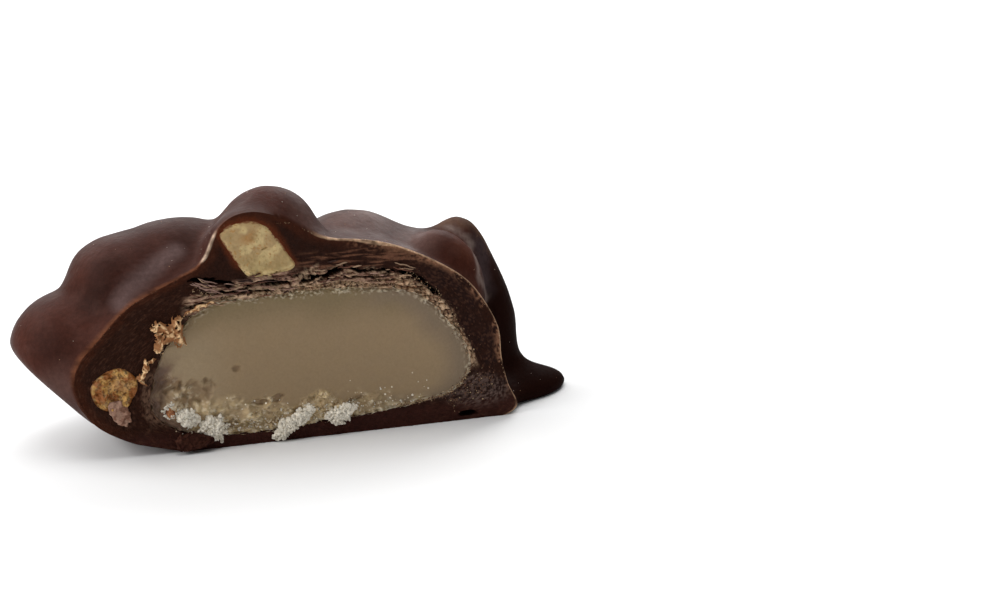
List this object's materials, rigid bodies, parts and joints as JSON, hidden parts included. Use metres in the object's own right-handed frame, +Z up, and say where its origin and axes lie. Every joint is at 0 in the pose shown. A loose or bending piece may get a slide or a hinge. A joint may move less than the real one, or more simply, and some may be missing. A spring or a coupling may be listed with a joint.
{
  "type": "half of a filled chocolate nut cluster",
  "caption": "Lumpy dark chocolate candy with whole peanuts under its coat, cut in half to show a pale fondant filling and cut nuts; it rests on its flat base.",
  "frame": {"origin": "centre of the bounding box at its bottom, on the surface that the candy rests on", "axes": "+X to the right along the cut face, seen from the cut side; +Y from the cut face towards the rounded back; +Z up"},
  "size_m": [0.0666, 0.0306, 0.0286],
  "materials": {
    "chocolate": "dark chocolate with a satin skin outside and a rough, crumbly cut",
    "fondant": "fine grained fondant, smooth where it was cut and crumbly at its lower edge",
    "nut": "cut peanut, matt, with darker tan mottling"
  },
  "bodies": {
    "root": {"chocolate_coat": "chocolate", "cream_filling": "fondant", "nut_top": "nut", "nut_left": "nut"}
  },
  "joints": []
}
